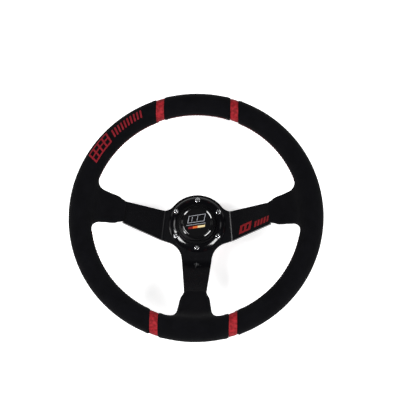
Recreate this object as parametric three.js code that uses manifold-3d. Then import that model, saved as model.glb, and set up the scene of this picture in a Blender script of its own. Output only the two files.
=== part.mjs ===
// Deep-dish three-spoke steering wheel on a ball-lock quick-release coupler.
//
// Millimetres. +Z runs along the steering axis towards the driver, +Y points to twelve o'clock
// and +X to the driver's right. The origin is on the axis, on the column hub's lowest face.
// The wheel lies on its back: column hub at the bottom, coupler above it, then the hub plate,
// the horn button in its middle, and the grip ring highest of all.

import * as THREE from 'three';
import { mergeVertices } from 'three/addons/utils/BufferGeometryUtils.js';
import Module from 'manifold-3d';

const wasm = await Module();
wasm.setup();

// ---------------------------------------------------------------- driving dimensions

const GAP = 0.3; // clearance kept between pieces that rest on each other

// grip ring
const RIM_RADIUS = 159.6; // axis to the middle of the grip tube
const GRIP_RADIUS = 15.4; // suede outside
const COVER_THICKNESS = 1.6; // suede with its thin backing
const BAND_RADIUS = 14.7; // red bands lie a little below the suede
const HOOP_RADIUS = 5; // steel hoop inside the foam
const BAND_NEAR_X = 47; // each band lies between two planes across X
const BAND_FAR_X = 57.4;
const RING_STEPS = 40;
const TUBE_SIDES = 12;
const HOOP_SIDES = 6;

// spoke frame
const PLATE_BACK = 50;
const PLATE_THICKNESS = 4;
const PLATE_FRONT = PLATE_BACK + PLATE_THICKNESS;
const PLATE_MIDDLE = PLATE_BACK + PLATE_THICKNESS / 2;
const RIM_HEIGHT = PLATE_FRONT + 67.8; // middle of the grip tube
const HUB_RADIUS = 44.6;
const HUB_BORE = 27;
const SIDE_SPOKE_ANGLE = THREE.MathUtils.degToRad(5.3); // side spokes point a little upwards
// Bends: where the flat and the slope would meet, out from the axis, and the bend's own radius
const SIDE_BEND = { corner: 49, radius: 10 };
const BOTTOM_BEND = { corner: 55.5, radius: 14 };
const SIDE_HUB_EDGE = 45.9; // flat hub ends here along a side spoke
const BOTTOM_HUB_EDGE = 51; // and here along the bottom spoke
const SPOKE_OVERLAP = 1; // how far a bent spoke starts inside the flat hub
const UPPER_EDGE = 15.9; // side spoke's upper edge, across from its own axis
const UPPER_FILLET = 18;
const LOWER_FILLET = 27;
const TANG_START = 103.4; // the spoke narrows here, under the grip's root
const TANG_HALF_WIDTH = 10.5;
const TANG_END = 154.1; // just short of the hoop it is welded to

// bolts
const BOLT_COUNT = 6;
const BOLT_CIRCLE_RADIUS = 35;
const BOLT_RADIUS = 2.5; // M5
const BOLT_HEAD_RADIUS = 3.8;
const BOLT_HEAD_SEAT = PLATE_FRONT + 3.8;
const BOLT_HEAD_TOP = PLATE_FRONT + 7.6;
const BOLT_TIP = 42.4;

// horn
const HORN_TRAVEL = 1.8;
const HOUSING_FLOOR = PLATE_FRONT - 9;
const HOUSING_WALL = 24.9; // inside radius
const CAP_RADIUS = 23.3;
const CAP_UNDERSIDE = PLATE_FRONT + 11.6;
const CONTACT_PLATE_BOTTOM = PLATE_FRONT + 10.5;
const CONTACT_RING_TOP = CONTACT_PLATE_BOTTOM - HORN_TRAVEL - GAP;

// quick-release coupler
const FLANGE_RADIUS = 40;
const FLANGE_TOP = PLATE_BACK - GAP;
const FLANGE_BOTTOM = 41.7;
const SLEEVE_RADIUS = 15.9;
const SLEEVE_BOTTOM = 8.5;
const CUP_BOTTOM = 33.5; // underside of the cup that clears the horn housing
const SPLINE_TEETH = 12;
const SPLINE_TIP = 12.3;
const SPLINE_ROOT = 11.3;
const SPLINE_CLEARANCE = 0.3;
const SPLINE_TOP = 32;
const BALL_COUNT = 6;
const BALL_RADIUS = 3;
const BALL_HEIGHT = 19;
const BALL_CENTRE = 13.6; // distance from the axis with the coupler locked
const BALL_CLEARANCE = 0.1;
const COLLAR_BOTTOM = 10.7;
const COLLAR_TOP = 29;
const COLLAR_SEAT = 24; // the collar's spring stands here
const RAMP_RATIO = 0.5; // ball travel outwards for each millimetre of collar travel
const COLUMN_BORE = 9.55; // for a 19 mm steering column

// ---------------------------------------------------------------- materials

const suede = new THREE.MeshStandardMaterial({ color: 0x111114, roughness: 0.97, metalness: 0 });
const redLeather = new THREE.MeshStandardMaterial({ color: 0xa8282f, roughness: 0.6, metalness: 0 });
const foam = new THREE.MeshStandardMaterial({ color: 0x2a2a2c, roughness: 0.9, metalness: 0 });
const blackAlloy = new THREE.MeshStandardMaterial({ color: 0x101012, roughness: 0.35, metalness: 0.4 });
const glossPlastic = new THREE.MeshStandardMaterial({ color: 0x08080a, roughness: 0.15, metalness: 0 });
const chrome = new THREE.MeshStandardMaterial({ color: 0xdcdfe2, roughness: 0.08, metalness: 1 });
const steel = new THREE.MeshStandardMaterial({ color: 0xb9bcc0, roughness: 0.3, metalness: 1 });
const springSteel = new THREE.MeshStandardMaterial({ color: 0x8c8f93, roughness: 0.35, metalness: 1 });
const brass = new THREE.MeshStandardMaterial({ color: 0xb8933f, roughness: 0.35, metalness: 1 });
const redAlloy = new THREE.MeshStandardMaterial({ color: 0xa01820, roughness: 0.3, metalness: 0.8 });

// ---------------------------------------------------------------- geometry helpers

/** Turns a closed geometry into a solid for cutting and joining, whichever way its faces point. */
function solid(source) {
  const bare = source.clone();
  bare.deleteAttribute('normal');
  bare.deleteAttribute('uv');
  const geometry = mergeVertices(bare, 1e-4);
  const position = geometry.attributes.position;
  const corners = [new THREE.Vector3(), new THREE.Vector3(), new THREE.Vector3()];
  const triangles = [];
  let volume = 0;
  for (let i = 0; i < geometry.index.count; i += 3) {
    const [a, b, c] = [0, 1, 2].map((k) => geometry.index.getX(i + k));
    if (a === b || b === c || c === a) continue; // a lathe's poles leave empty triangles
    triangles.push([a, b, c]);
    [a, b, c].forEach((vertex, k) => corners[k].fromBufferAttribute(position, vertex));
    volume += corners[0].dot(corners[1].clone().cross(corners[2]));
  }
  const outward = volume > 0 ? triangles : triangles.map(([a, b, c]) => [a, c, b]);
  const mesh = new wasm.Mesh({
    numProp: 3,
    vertProperties: new Float32Array(position.array),
    triVerts: new Uint32Array(outward.flat()),
  });
  return new wasm.Manifold(mesh);
}

/** A solid's surface as a geometry. */
function surface(body) {
  const mesh = body.getMesh();
  const geometry = new THREE.BufferGeometry();
  geometry.setAttribute('position', new THREE.BufferAttribute(new Float32Array(mesh.vertProperties), 3));
  geometry.setIndex(new THREE.BufferAttribute(new Uint32Array(mesh.triVerts), 1));
  geometry.computeVertexNormals();
  return geometry;
}

/** Turned piece: profile of [radius, height] points from axis to axis. */
function turned(profile, segments = 24) {
  const points = profile.map(([radius, height]) => new THREE.Vector2(radius, height));
  return solid(new THREE.LatheGeometry(points, segments).rotateX(Math.PI / 2));
}

/** Turned ring: the profile closes on itself away from the axis. */
function ring(profile, segments = 24) {
  return turned([...profile, profile[0]], segments);
}

/** Upright round bar between two heights. */
function bar(radius, bottom, top, segments = 10, x = 0, y = 0) {
  const geometry = new THREE.CylinderGeometry(radius, radius, top - bottom, segments);
  geometry.rotateX(Math.PI / 2);
  geometry.translate(x, y, (top + bottom) / 2);
  return solid(geometry);
}

/** Box between two corners. */
function block(low, high) {
  const size = high.map((value, k) => value - low[k]);
  const geometry = new THREE.BoxGeometry(...size);
  geometry.translate(...high.map((value, k) => (value + low[k]) / 2));
  return solid(geometry);
}

/** Flat outline raised between two heights. */
function raised(outline, bottom, top) {
  const shape = new THREE.Shape(outline);
  const geometry = new THREE.ExtrudeGeometry(shape, { depth: top - bottom, bevelEnabled: false });
  geometry.translate(0, 0, bottom);
  return solid(geometry);
}

/** Skin over a row of like sections, with flat ends. */
function loft(sections) {
  const count = sections[0].length;
  const index = [];
  for (let row = 0; row + 1 < sections.length; row += 1) {
    for (let k = 0; k < count; k += 1) {
      const a = row * count + k;
      const b = row * count + ((k + 1) % count);
      index.push(a, b, a + count, b, b + count, a + count);
    }
  }
  const last = (sections.length - 1) * count;
  for (let k = 1; k + 1 < count; k += 1) {
    index.push(0, k + 1, k);
    index.push(last, last + k, last + k + 1);
  }
  const geometry = new THREE.BufferGeometry();
  geometry.setFromPoints(sections.flat());
  geometry.setIndex(index);
  return solid(geometry);
}

/** Points along an arc about a centre, both ends included. */
function arc(x, y, radius, from, to, steps) {
  return Array.from({ length: steps + 1 }, (_, k) => {
    const angle = from + ((to - from) * k) / steps;
    return new THREE.Vector2(x + radius * Math.cos(angle), y + radius * Math.sin(angle));
  });
}

/** Places around the axis: count of them, the first at the given angle. */
function around(count, first = 0) {
  return Array.from({ length: count }, (_, k) => first + (k * 2 * Math.PI) / count);
}

/** Helix about the axis between two heights. */
class Helix extends THREE.Curve {
  constructor(radius, bottom, top, turns) {
    super();
    Object.assign(this, { radius, bottom, top, turns });
  }

  getPoint(t, target = new THREE.Vector3()) {
    const angle = t * this.turns * 2 * Math.PI;
    const height = this.bottom + (this.top - this.bottom) * t;
    return target.set(this.radius * Math.cos(angle), this.radius * Math.sin(angle), height);
  }
}

/** Coil spring that fills the height between two seats. */
function coil(radius, wire, bottom, top, turns) {
  const path = new Helix(radius, bottom + wire + 0.1, top - wire - 0.1, turns);
  const section = new THREE.Shape(arc(0, 0, wire, 0, (2 * Math.PI * 4) / 5, 4));
  const steps = Math.round(turns * 12);
  return solid(new THREE.ExtrudeGeometry(section, { steps, bevelEnabled: false, extrudePath: path }));
}

const model = new THREE.Group();

/** Adds one named piece to the model. */
function piece(name, body, material) {
  const mesh = new THREE.Mesh(surface(body), material);
  mesh.name = name;
  model.add(mesh);
}

// ---------------------------------------------------------------- spokes

/** Slope of a spoke, so that its middle line aims at the middle of the grip tube. */
function slopeOf({ corner }) {
  return Math.atan((RIM_HEIGHT - PLATE_MIDDLE) / (RIM_RADIUS - corner));
}

/** Middle line of a bent spoke: distance out, height and slope at a length from the axis. */
function spokeLine({ bend }, length) {
  const full = slopeOf(bend);
  const start = bend.corner - bend.radius * Math.tan(full / 2);
  if (length <= start) return { out: length, height: PLATE_MIDDLE, slope: 0 };
  const slope = Math.min((length - start) / bend.radius, full);
  const straight = Math.max(length - start - bend.radius * full, 0);
  return {
    out: start + bend.radius * Math.sin(slope) + straight * Math.cos(slope),
    height: PLATE_MIDDLE + bend.radius * (1 - Math.cos(slope)) + straight * Math.sin(slope),
    slope,
  };
}

/** Length along the middle line at a given distance out, past the bend. */
function lengthAt({ bend }, out) {
  const full = slopeOf(bend);
  const tangent = bend.radius * Math.tan(full / 2);
  const bendEnd = bend.corner + tangent * Math.cos(full);
  return bend.corner - tangent + bend.radius * full + (out - bendEnd) / Math.cos(full);
}

/** Upper edge of a side spoke, across from its own axis, with the fillet into the round hub. */
function upperEdge(out) {
  const rise = UPPER_EDGE + UPPER_FILLET;
  const centre = Math.sqrt((HUB_RADIUS + UPPER_FILLET) ** 2 - rise ** 2);
  if (out >= centre) return UPPER_EDGE;
  return rise - Math.sqrt(UPPER_FILLET ** 2 - (centre - out) ** 2);
}

/** Lower edge of a side spoke, which narrows outwards. */
function lowerEdge(out) {
  return 26.9 - (out - 54) * 0.228;
}

/** Half the width of the bottom spoke. */
function bottomEdge(out) {
  return 21.7 - (out - 51) * 0.116;
}

// rootShift and rootWiden move and widen the suede round a spoke, across from the spoke's axis.
const SPOKES = [
  {
    angle: SIDE_SPOKE_ANGLE,
    left: upperEdge,
    right: lowerEdge,
    bend: SIDE_BEND,
    hubEdge: SIDE_HUB_EDGE,
    rootShift: 1.4,
    rootWiden: -0.2,
  },
  {
    angle: Math.PI - SIDE_SPOKE_ANGLE,
    left: lowerEdge,
    right: upperEdge,
    bend: SIDE_BEND,
    hubEdge: SIDE_HUB_EDGE,
    rootShift: -1.4,
    rootWiden: -0.2,
  },
  {
    angle: -Math.PI / 2,
    left: bottomEdge,
    right: bottomEdge,
    bend: BOTTOM_BEND,
    hubEdge: BOTTOM_HUB_EDGE,
    rootShift: 0,
    rootWiden: 0.5,
  },
];

/** Point of a spoke: out along its axis, across to its left, at a height. */
function spokePoint(spoke, out, across, height) {
  const cos = Math.cos(spoke.angle);
  const sin = Math.sin(spoke.angle);
  return new THREE.Vector3(out * cos - across * sin, out * sin + across * cos, height);
}

/** Section across a spoke: offsets are [across, up from the middle line] pairs. */
function spokeSection(spoke, length, offsets) {
  const { out, height, slope } = spokeLine(spoke, length);
  return offsets.map(([across, up]) => {
    return spokePoint(spoke, out - up * Math.sin(slope), across, height + up * Math.cos(slope));
  });
}

/** Flat bar along a spoke's middle line, with its edges given as functions of the distance out. */
function bentBar(spoke, lengths, left, right, halfThickness) {
  const sections = lengths.map((length) => {
    const { out } = spokeLine(spoke, length);
    const corners = [
      [left(out), -halfThickness],
      [left(out), halfThickness],
      [-right(out), halfThickness],
      [-right(out), -halfThickness],
    ];
    return spokeSection(spoke, length, corners);
  });
  return loft(sections);
}

/** Outline of the flat middle of the spoke frame. */
function hubOutline() {
  const axis = SIDE_SPOKE_ANGLE;
  const rise = UPPER_EDGE + UPPER_FILLET;
  const reach = Math.sqrt((HUB_RADIUS + UPPER_FILLET) ** 2 - rise ** 2);
  const right = SPOKES[0];
  const centre = spokePoint(right, reach, rise, 0);
  const touch = Math.atan2(centre.y, centre.x);
  const filletEnd = axis - Math.PI / 2 - Math.asin((reach - SIDE_HUB_EDGE) / UPPER_FILLET);
  const dome = arc(0, 0, HUB_RADIUS, Math.PI / 2, touch, 10);
  const upper = arc(centre.x, centre.y, UPPER_FILLET, touch - Math.PI, filletEnd, 4);

  const sideEnd = spokePoint(right, SIDE_HUB_EDGE, -lowerEdge(SIDE_HUB_EDGE), 0);
  const sideInner = spokePoint(right, 0, -lowerEdge(0), 0);
  const downEnd = new THREE.Vector3(bottomEdge(BOTTOM_HUB_EDGE), -BOTTOM_HUB_EDGE, 0);
  const downInner = new THREE.Vector3(bottomEdge(0), 0, 0);
  const lower = filletBetween(sideEnd, sideInner, downInner, downEnd, LOWER_FILLET);

  const half = [...dome, ...upper.slice(1), sideEnd, ...lower, downEnd];
  const mirrored = half.slice(1).reverse().map((point) => new THREE.Vector2(-point.x, point.y));
  return [...half.map((point) => new THREE.Vector2(point.x, point.y)), ...mirrored];
}

/** Arc of a radius that joins the line from a to b with the line from c to d. */
function filletBetween(a, b, c, d, radius) {
  const one = new THREE.Vector2(b.x - a.x, b.y - a.y).normalize();
  const two = new THREE.Vector2(d.x - c.x, d.y - c.y).normalize();
  const cross = one.x * two.y - one.y * two.x;
  const along = ((c.x - a.x) * two.y - (c.y - a.y) * two.x) / cross;
  const corner = new THREE.Vector2(a.x + one.x * along, a.y + one.y * along);
  const turn = Math.acos(one.dot(two));
  const back = radius * Math.tan(turn / 2);
  const first = corner.clone().addScaledVector(one, -back);
  const side = Math.sign(cross);
  const centre = new THREE.Vector2(first.x - one.y * side * radius, first.y + one.x * side * radius);
  const from = Math.atan2(first.y - centre.y, first.x - centre.x);
  return arc(centre.x, centre.y, radius, from, from + side * turn, 8);
}

/** Lengths along a spoke at which its bent bar has a section. */
function frameLengths(spoke) {
  const { corner, radius } = spoke.bend;
  const full = slopeOf(spoke.bend);
  const start = corner - radius * Math.tan(full / 2);
  const bend = [0, 1, 2, 3, 4, 5].map((k) => start + (radius * full * k) / 5);
  return [Math.min(spoke.hubEdge, start) - SPOKE_OVERLAP, ...bend, lengthAt(spoke, TANG_START)];
}

function spokeFrame() {
  let frame = raised(hubOutline(), PLATE_BACK, PLATE_FRONT);
  for (const spoke of SPOKES) {
    const half = PLATE_THICKNESS / 2;
    const tangLengths = [lengthAt(spoke, TANG_START - 1), lengthAt(spoke, TANG_END)];
    const tangEdge = () => TANG_HALF_WIDTH;
    frame = frame.add(bentBar(spoke, frameLengths(spoke), spoke.left, spoke.right, half));
    frame = frame.add(bentBar(spoke, tangLengths, tangEdge, tangEdge, half));
  }
  frame = frame.subtract(bar(HUB_BORE, PLATE_BACK - 1, PLATE_FRONT + 1, 36));
  return cutBoltHoles(frame, BOLT_RADIUS + GAP, PLATE_BACK - 1, PLATE_FRONT + 1);
}

// ---------------------------------------------------------------- bolts

const boltAngles = around(BOLT_COUNT, Math.PI / 6);

/** Cuts one round hole for each bolt, between two heights. */
function cutBoltHoles(body, radius, bottom, top) {
  return boltAngles.reduce((rest, angle) => {
    const x = BOLT_CIRCLE_RADIUS * Math.cos(angle);
    const y = BOLT_CIRCLE_RADIUS * Math.sin(angle);
    return rest.subtract(bar(radius, bottom, top, 8, x, y));
  }, body);
}

/** Button-head bolt with a hexagon socket, on the axis. */
function bolt() {
  const body = turned([
    [0, BOLT_TIP],
    [BOLT_RADIUS - 0.5, BOLT_TIP],
    [BOLT_RADIUS, BOLT_TIP + 0.5],
    [BOLT_RADIUS, BOLT_HEAD_SEAT],
    [BOLT_HEAD_RADIUS, BOLT_HEAD_SEAT],
    [BOLT_HEAD_RADIUS, BOLT_HEAD_TOP - 1.2],
    [BOLT_HEAD_RADIUS - 1, BOLT_HEAD_TOP - 0.3],
    [BOLT_HEAD_RADIUS - 1.9, BOLT_HEAD_TOP],
    [0, BOLT_HEAD_TOP],
  ], 12);
  return body.subtract(bar(1.75, BOLT_HEAD_TOP - 1.5, BOLT_HEAD_TOP + 1, 6));
}

// ---------------------------------------------------------------- grip ring

/** Ring of round section in the plane of the rim. */
function torus(radius, sides = TUBE_SIDES) {
  const geometry = new THREE.TorusGeometry(RIM_RADIUS, radius, sides, RING_STEPS);
  geometry.translate(0, 0, RIM_HEIGHT);
  return solid(geometry);
}

// Half width and half thickness of a grip root outside its suede, by the distance out.
const ROOT = [
  { out: 103.8, width: 15.2, thickness: 4.9 },
  { out: 109, width: 17.2, thickness: 5.0 },
  { out: 115, width: 19.9, thickness: 5.1 },
  { out: 123, width: 21.3, thickness: 5.3 },
  { out: 131, width: 23.5, thickness: 5.7 },
  { out: 138, width: 27.5, thickness: 6.3 },
  { out: 145, width: 34.5, thickness: 7.2 },
  { out: 150, width: 36, thickness: 8.2 },
];

/** Root of the grip round a spoke, shrunk inwards on all sides; extend moves its open end. */
function gripRoot(spoke, inset, extend) {
  const sections = ROOT.map(({ out, width, thickness }, k) => {
    const w = width + spoke.rootWiden - inset;
    const h = thickness - inset;
    const corner = Math.min(h * 0.6, 2.6);
    const offsets = [
      [w, -h + corner],
      [w, h - corner],
      [w - corner, h],
      [-w + corner, h],
      [-w, h - corner],
      [-w, -h + corner],
      [-w + corner, -h],
      [w - corner, -h],
    ].map(([across, up]) => [across + spoke.rootShift, up]);
    return spokeSection(spoke, lengthAt(spoke, out) - (k === 0 ? extend : 0), offsets);
  });
  return loft(sections);
}

/** Tube of the grip with a root on each spoke, shrunk inwards. */
function gripBody(inset, extend) {
  return SPOKES.reduce(
    (body, spoke) => body.add(gripRoot(spoke, inset, extend)),
    torus(GRIP_RADIUS - inset),
  );
}

/** Region between two planes across X, in the upper or lower half of the rim. */
function slice(fromX, toX, fromY, toY) {
  return block([fromX, fromY, PLATE_FRONT], [toX, toY, RIM_HEIGHT + 40]);
}

function rimFoam() {
  let body = gripBody(COVER_THICKNESS + GAP, -GAP);
  body = body.subtract(torus(HOOP_RADIUS + GAP, HOOP_SIDES));
  for (const spoke of SPOKES) {
    const edge = () => TANG_HALF_WIDTH + GAP;
    const lengths = [lengthAt(spoke, TANG_START) - 2, lengthAt(spoke, TANG_END) + 1.5];
    body = body.subtract(bentBar(spoke, lengths, edge, edge, PLATE_THICKNESS / 2 + GAP));
  }
  return body;
}

/** The suede skin round the whole ring, before it is cut into its panels. */
function suedeSkin() {
  return gripBody(0, 0).subtract(gripBody(COVER_THICKNESS, 1));
}

/** One red band round the grip tube. */
function band(sideX, sideY) {
  const skin = torus(BAND_RADIUS).subtract(torus(GRIP_RADIUS - COVER_THICKNESS));
  const xs = [sideX * BAND_NEAR_X, sideX * BAND_FAR_X].sort((a, b) => a - b);
  const ys = [0, sideY * 200].sort((a, b) => a - b);
  return skin.intersect(slice(xs[0], xs[1], ys[0], ys[1]));
}

// ---------------------------------------------------------------- horn

function hornRing() {
  const body = ring([
    [26.5, PLATE_FRONT + GAP],
    [40.6, PLATE_FRONT + GAP],
    [40.6, PLATE_FRONT + 2.5],
    [39.5, PLATE_FRONT + 3.3],
    [37.5, PLATE_FRONT + 4.55],
    [35.5, PLATE_FRONT + 5.5],
    [33.5, PLATE_FRONT + 6.2],
    [31.5, PLATE_FRONT + 6.4],
    [26.5, PLATE_FRONT + 6.4],
  ], 32);
  const drilled = cutBoltHoles(body, BOLT_RADIUS + GAP, PLATE_FRONT - 1, PLATE_FRONT + 9);
  return cutBoltHoles(drilled, BOLT_HEAD_RADIUS + GAP, BOLT_HEAD_SEAT - GAP, PLATE_FRONT + 9);
}

function hornHousing() {
  return ring([
    [3, HOUSING_FLOOR],
    [26.1, HOUSING_FLOOR],
    [26.1, PLATE_FRONT + 6.7],
    [29.5, PLATE_FRONT + 6.7],
    [29.5, PLATE_FRONT + 7.6],
    [28.9, PLATE_FRONT + 8.1],
    [26.4, PLATE_FRONT + 8.4],
    [26.3, PLATE_FRONT + 13.1],
    [25.6, PLATE_FRONT + 13.8],
    [CAP_RADIUS + 0.4, PLATE_FRONT + 13.9],
    [CAP_RADIUS + 0.4, CAP_UNDERSIDE],
    [HOUSING_WALL, CAP_UNDERSIDE],
    [HOUSING_WALL, HOUSING_FLOOR + 2],
    [3, HOUSING_FLOOR + 2],
  ], 32);
}

function hornCap() {
  return turned([
    [0, PLATE_FRONT + 13.6],
    [20.6, PLATE_FRONT + 13.6],
    [20.6, PLATE_FRONT + 13],
    [CAP_RADIUS, PLATE_FRONT + 13],
    [CAP_RADIUS, PLATE_FRONT + 11.2],
    [CAP_RADIUS + 1.1, PLATE_FRONT + 11.2],
    [CAP_RADIUS + 1.1, PLATE_FRONT + 9.2],
    [20.6, PLATE_FRONT + 9.2],
    [20.6, CAP_UNDERSIDE],
    [0, CAP_UNDERSIDE],
  ], 32);
}

function hornBezel() {
  return ring([
    [20.9, PLATE_FRONT + 13.3],
    [CAP_RADIUS, PLATE_FRONT + 13.3],
    [CAP_RADIUS, PLATE_FRONT + 14.5],
    [22.3, PLATE_FRONT + 14.9],
    [21.9, PLATE_FRONT + 14.9],
    [20.9, PLATE_FRONT + 14.5],
  ], 32);
}

function hornEmblem() {
  return turned([
    [0, PLATE_FRONT + 13.9],
    [20.6, PLATE_FRONT + 13.9],
    [20.6, PLATE_FRONT + 14.2],
    [0, PLATE_FRONT + 14.4],
  ], 32);
}

/** Spade terminal under the horn housing, on one side of the axis. */
function hornTerminal(side) {
  const top = HOUSING_FLOOR - GAP;
  const blade = block([side * 12 - 0.4, -3.15, top - 7], [side * 12 + 0.4, 3.15, top - 0.5]);
  const foot = block([side * 12 - 3, -3.15, top - 0.9], [side * 12 + 3, 3.15, top]);
  return blade.add(foot);
}

// ---------------------------------------------------------------- quick-release coupler

/** Spline outline; grow widens it evenly for the socket that takes it. */
function splineOutline(grow) {
  const pitch = (2 * Math.PI) / SPLINE_TEETH;
  const widen = grow / SPLINE_TIP;
  return around(SPLINE_TEETH).flatMap((angle) => {
    const corners = [
      [-0.3 * pitch - widen, SPLINE_ROOT + grow],
      [-0.2 * pitch - widen, SPLINE_TIP + grow],
      [0.2 * pitch + widen, SPLINE_TIP + grow],
      [0.3 * pitch + widen, SPLINE_ROOT + grow],
    ];
    return corners.map(([turn, radius]) => {
      return new THREE.Vector2(radius * Math.cos(angle + turn), radius * Math.sin(angle + turn));
    });
  });
}

/** Wheel half of the coupler: bolt flange, cup for the horn housing and the splined sleeve. */
function couplerHub() {
  let body = turned([
    [0, SLEEVE_BOTTOM],
    [SLEEVE_RADIUS - 0.6, SLEEVE_BOTTOM],
    [SLEEVE_RADIUS - 0.6, 9],
    [SLEEVE_RADIUS - 1.1, 9],
    [SLEEVE_RADIUS - 1.1, 10.5],
    [SLEEVE_RADIUS, 10.5],
    [SLEEVE_RADIUS, CUP_BOTTOM],
    [29, CUP_BOTTOM],
    [31, CUP_BOTTOM + 2],
    [31, FLANGE_BOTTOM],
    [FLANGE_RADIUS - 0.8, FLANGE_BOTTOM],
    [FLANGE_RADIUS, FLANGE_BOTTOM + 0.8],
    [FLANGE_RADIUS, FLANGE_TOP],
    [27.6, FLANGE_TOP],
    [27.6, 36.8],
    [0, 36.8],
  ], 24);
  body = body.subtract(raised(splineOutline(SPLINE_CLEARANCE), SLEEVE_BOTTOM - 1, SPLINE_TOP + 0.8));
  body = body.subtract(bar(5, SPLINE_TOP, 38));
  for (const angle of around(BALL_COUNT)) {
    const hole = new THREE.CylinderGeometry(3.4, 3.4, 12, 8);
    hole.rotateZ(angle - Math.PI / 2);
    hole.translate(14 * Math.cos(angle), 14 * Math.sin(angle), BALL_HEIGHT);
    body = body.subtract(solid(hole));
  }
  return cutBoltHoles(body, BOLT_RADIUS + GAP, FLANGE_BOTTOM - 1, FLANGE_TOP + 1);
}

/** Column half of the coupler: splined nose with a ball groove, shoulder and column socket. */
function columnHub() {
  const shoulder = turned([
    [0, 0],
    [23, 0],
    [24, 1],
    [24, 7],
    [23, 8],
    [0, 8],
  ], 24);
  const nose = raised(splineOutline(0), 7, SPLINE_TOP);
  const grooveRadius = BALL_RADIUS + BALL_CLEARANCE;
  const groove = solid(new THREE.TorusGeometry(BALL_CENTRE, grooveRadius + 0.1, 10, 24));
  return shoulder
    .add(nose)
    .subtract(groove.translate([0, 0, BALL_HEIGHT]))
    .subtract(bar(COLUMN_BORE, -1, 13, 24));
}

/** Sliding collar: its inner ramp holds the balls in, and lets them out as it is drawn up. */
function releaseCollar() {
  const rampAngle = Math.atan(RAMP_RATIO);
  const rampAtBall = BALL_CENTRE + (BALL_RADIUS + BALL_CLEARANCE) / Math.cos(rampAngle);
  const guide = SLEEVE_RADIUS + 0.15;
  const rampTop = BALL_HEIGHT + (rampAtBall - guide) / RAMP_RATIO;
  const skirt = 19.6;
  const rampBottom = BALL_HEIGHT - (skirt - rampAtBall) / RAMP_RATIO;
  const outside = 26.5;
  let body = ring([
    [skirt, COLLAR_BOTTOM],
    [outside - 1, COLLAR_BOTTOM],
    [outside, COLLAR_BOTTOM + 1],
    [outside, COLLAR_TOP - 5],
    [outside + 3, COLLAR_TOP - 3],
    [outside + 3, COLLAR_TOP - 0.8],
    [outside + 2.2, COLLAR_TOP],
    [20.8, COLLAR_TOP],
    [20.8, COLLAR_SEAT],
    [guide, COLLAR_SEAT],
    [guide, rampTop],
    [skirt, rampBottom],
  ], 24);
  for (const angle of around(10, Math.PI / 10)) {
    const x = 28.3 * Math.cos(angle);
    const y = 28.3 * Math.sin(angle);
    body = body.subtract(bar(2.8, COLLAR_BOTTOM - 1, COLLAR_TOP - 6, 8, x, y));
  }
  return body;
}

/** Open ring that stops the collar at the bottom of the sleeve. */
function collarClip() {
  const washer = ring([
    [SLEEVE_RADIUS - 0.8, 9.2],
    [21, 9.2],
    [21, 10.3],
    [SLEEVE_RADIUS - 0.8, 10.3],
  ]);
  return washer.subtract(block([0, -3, 8], [30, 3, 12]));
}

function lockBall(angle) {
  const ball = new THREE.SphereGeometry(BALL_RADIUS, 10, 6);
  ball.translate(BALL_CENTRE * Math.cos(angle), BALL_CENTRE * Math.sin(angle), BALL_HEIGHT);
  return solid(ball);
}

// ---------------------------------------------------------------- assembly

piece('spoke_frame', spokeFrame(), blackAlloy);
piece('rim_hoop', torus(HOOP_RADIUS, HOOP_SIDES), steel);
piece('rim_foam', rimFoam(), foam);

const skin = suedeSkin();
const panelEdge = BAND_FAR_X + GAP;
piece('suede_top', skin.intersect(slice(GAP - BAND_NEAR_X, BAND_NEAR_X - GAP, 0, 200)), suede);
piece('suede_bottom', skin.intersect(slice(GAP - BAND_NEAR_X, BAND_NEAR_X - GAP, -200, 0)), suede);
piece('suede_left', skin.intersect(slice(-200, -panelEdge, -200, 200)), suede);
piece('suede_right', skin.intersect(slice(panelEdge, 200, -200, 200)), suede);
piece('band_top_left', band(-1, 1), redLeather);
piece('band_top_right', band(1, 1), redLeather);
piece('band_bottom_left', band(-1, -1), redLeather);
piece('band_bottom_right', band(1, -1), redLeather);

piece('horn_ring', hornRing(), blackAlloy);
boltAngles.forEach((angle, k) => {
  const place = [BOLT_CIRCLE_RADIUS * Math.cos(angle), BOLT_CIRCLE_RADIUS * Math.sin(angle), 0];
  piece(`wheel_bolt_${k + 1}`, bolt().translate(place), steel);
});

piece('horn_housing', hornHousing(), glossPlastic);
piece('horn_cap', hornCap(), glossPlastic);
piece('horn_bezel', hornBezel(), glossPlastic);
piece('horn_emblem', hornEmblem(), glossPlastic);
piece('horn_contact_plate', ring([
  [2, CONTACT_PLATE_BOTTOM],
  [18.5, CONTACT_PLATE_BOTTOM],
  [18.5, CAP_UNDERSIDE - GAP],
  [2, CAP_UNDERSIDE - GAP],
]), brass);
piece('horn_contact_carrier', ring([
  [15.5, HOUSING_FLOOR + 2 + GAP],
  [20, HOUSING_FLOOR + 2 + GAP],
  [20, CONTACT_RING_TOP - 1],
  [15.5, CONTACT_RING_TOP - 1],
]), blackAlloy);
piece('horn_contact_ring', ring([
  [15.5, CONTACT_RING_TOP - 0.7],
  [20, CONTACT_RING_TOP - 0.7],
  [20, CONTACT_RING_TOP],
  [15.5, CONTACT_RING_TOP],
]), brass);
piece('horn_spring', coil(10, 0.7, HOUSING_FLOOR + 2, CONTACT_PLATE_BOTTOM, 4.5), springSteel);
piece('horn_terminal_live', hornTerminal(1), brass);
piece('horn_terminal_earth', hornTerminal(-1), brass);

piece('coupler_hub', couplerHub(), blackAlloy);
piece('release_collar', releaseCollar(), redAlloy);
piece('collar_spring', coil(18.3, 0.6, COLLAR_SEAT, CUP_BOTTOM, 3), springSteel);
piece('collar_clip', collarClip(), springSteel);
around(BALL_COUNT).forEach((angle, k) => piece(`lock_ball_${k + 1}`, lockBall(angle), chrome));
piece('column_hub', columnHub(), steel);

export default model;
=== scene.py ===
"""Deep-dish steering wheel with a quick-release coupler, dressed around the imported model.

Lengths are in millimetres until a mesh is made, and each mesh is made in metres in the model's frame:
+Z towards the driver, +Y to twelve o'clock, origin on the axis at the column hub's lowest face.
"""

import math

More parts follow.
